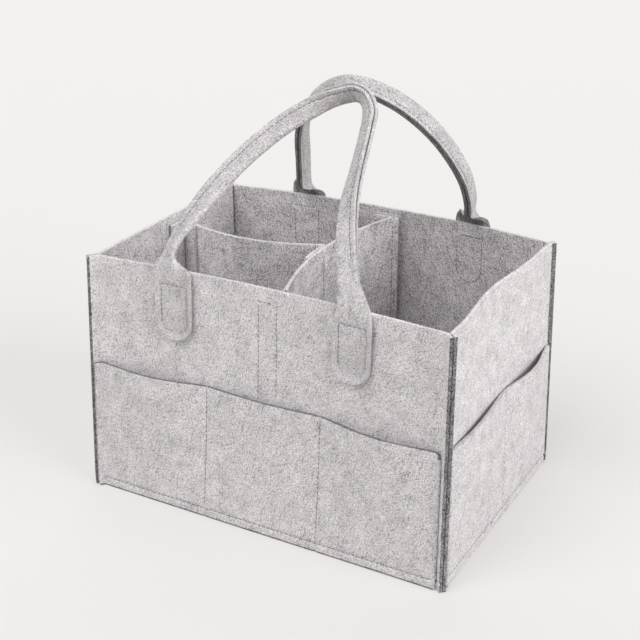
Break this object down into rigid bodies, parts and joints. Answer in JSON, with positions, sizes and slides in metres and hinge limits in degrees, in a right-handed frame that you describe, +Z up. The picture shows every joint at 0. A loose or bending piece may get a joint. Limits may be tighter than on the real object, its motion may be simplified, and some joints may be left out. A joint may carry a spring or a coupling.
{
  "type": "diaper caddy",
  "caption": "Open-top rectangular felt caddy with outside pockets, folded carrying handles and a lift-out divider insert held by hook-and-loop flaps.",
  "frame": {"origin": "on the floor under the middle of the outline", "axes": "+Z up, +X along the length towards the right end, -Y towards the front with the stitched tape lines"},
  "size_m": [0.3456, 0.2492, 0.3537],
  "materials": {
    "wall_felt": "pressed heather felt",
    "pocket_felt": "pressed heather felt",
    "handle_felt": "pressed heather felt",
    "insert_felt": "pressed heather felt",
    "hook_tape": "white woven tape with nylon hooks",
    "loop_tape": "white brushed nylon loop pile"
  },
  "bodies": {
    "caddy": {"base_panel": "wall_felt", "front_panel": "wall_felt", "back_panel": "wall_felt", "left_panel": "wall_felt", "right_panel": "wall_felt", "front_pocket": "pocket_felt", "back_pocket": "pocket_felt", "left_pocket": "pocket_felt", "right_pocket": "pocket_felt", "front_left_tongue": "handle_felt", "front_right_tongue": "handle_felt", "back_left_tongue": "handle_felt", "back_right_tongue": "handle_felt", "front_loop_tape": "loop_tape", "back_loop_tape": "loop_tape", "left_loop_tape": "loop_tape"},
    "front_handle_body": {"front_handle": "handle_felt"},
    "back_handle_body": {"back_handle": "handle_felt"},
    "insert": {"cross_divider": "insert_felt", "long_divider": "insert_felt"},
    "front_flap_body": {"front_flap": "insert_felt", "front_hook_tape": "hook_tape"},
    "back_flap_body": {"back_flap": "insert_felt", "back_hook_tape": "hook_tape"},
    "left_flap_body": {"left_flap": "insert_felt", "left_hook_tape": "hook_tape"}
  },
  "joints": [
    {"name": "front_handle_swing", "type": "hinge", "parent": "caddy", "child": "front_handle_body", "pos_m": [0.0024, -0.111, 0.222], "axis": [1, 0, 0], "range_deg": [0, 172]},
    {"name": "back_handle_swing", "type": "hinge", "parent": "caddy", "child": "back_handle_body", "pos_m": [0.0024, 0.11432, 0.222], "axis": [-1, 0, 0], "range_deg": [0, 160]},
    {"name": "insert_lift", "type": "slide", "parent": "caddy", "child": "insert", "axis": [0, 0, 1], "range_m": [0, 0.09]},
    {"name": "front_flap_peel", "type": "hinge", "parent": "insert", "child": "front_flap_body", "pos_m": [0.01465, -0.0945, 0.156], "axis": [0, 0, -1], "range_deg": [0, 60]},
    {"name": "back_flap_peel", "type": "hinge", "parent": "insert", "child": "back_flap_body", "pos_m": [0.01291, 0.103, 0.156], "axis": [0, 0, 1], "range_deg": [0, 60]},
    {"name": "left_flap_peel", "type": "hinge", "parent": "insert", "child": "left_flap_body", "pos_m": [-0.1501, 0.01, 0.156], "axis": [0, 0, 1], "range_deg": [0, 45]}
  ]
}
